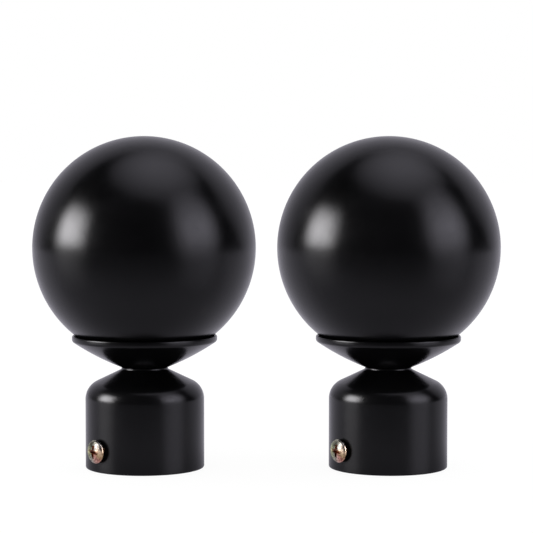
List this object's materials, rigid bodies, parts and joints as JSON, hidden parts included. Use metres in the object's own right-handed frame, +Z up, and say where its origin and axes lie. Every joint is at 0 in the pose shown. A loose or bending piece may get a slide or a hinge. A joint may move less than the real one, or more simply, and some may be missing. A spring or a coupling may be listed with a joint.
{
  "type": "curtain rod finial set",
  "caption": "Matching black ball finials, each a ball in a flared dish on a bell-shaped socket that slips over the end of a curtain rod and is locked by a side set screw.",
  "frame": {"origin": "on the plane that both sockets' mouths stand on, midway between the two finials", "axes": "+Z up each finial's axis from the socket's mouth to the ball, +X from the left finial to the right one, -Y towards the side that the set screws face"},
  "size_m": [0.11, 0.0524, 0.0782],
  "materials": {
    "black_paint": "satin black baked paint on drawn steel",
    "yellow_zinc": "bright zinc plate with an iridescent yellow chromate",
    "bright_zinc": "bright clear zinc plate"
  },
  "bodies": {
    "left_finial": {"left_ball": "black_paint", "left_dish": "black_paint", "left_socket": "black_paint", "left_centre_screw": "bright_zinc", "left_spring_washer": "bright_zinc", "left_flat_washer": "bright_zinc", "left_weld_nut": "bright_zinc"},
    "left_set_screw": {"left_set_screw": "yellow_zinc"},
    "right_finial": {"right_ball": "black_paint", "right_dish": "black_paint", "right_socket": "black_paint", "right_centre_screw": "bright_zinc", "right_spring_washer": "bright_zinc", "right_flat_washer": "bright_zinc", "right_weld_nut": "bright_zinc"},
    "right_set_screw": {"right_set_screw": "yellow_zinc"}
  },
  "joints": [
    {"name": "finials_apart", "type": "slide", "parent": "left_finial", "child": "right_finial", "axis": [1, 0, 0], "range_m": [0, 0.1]},
    {"name": "left_set_screw_travel", "type": "slide", "parent": "left_finial", "child": "left_set_screw", "axis": [-0.7254, -0.6884, 0], "range_m": [-0.0005, 0.0035]},
    {"name": "right_set_screw_travel", "type": "slide", "parent": "right_finial", "child": "right_set_screw", "axis": [-0.8039, -0.5948, 0], "range_m": [-0.0005, 0.0035]}
  ]
}
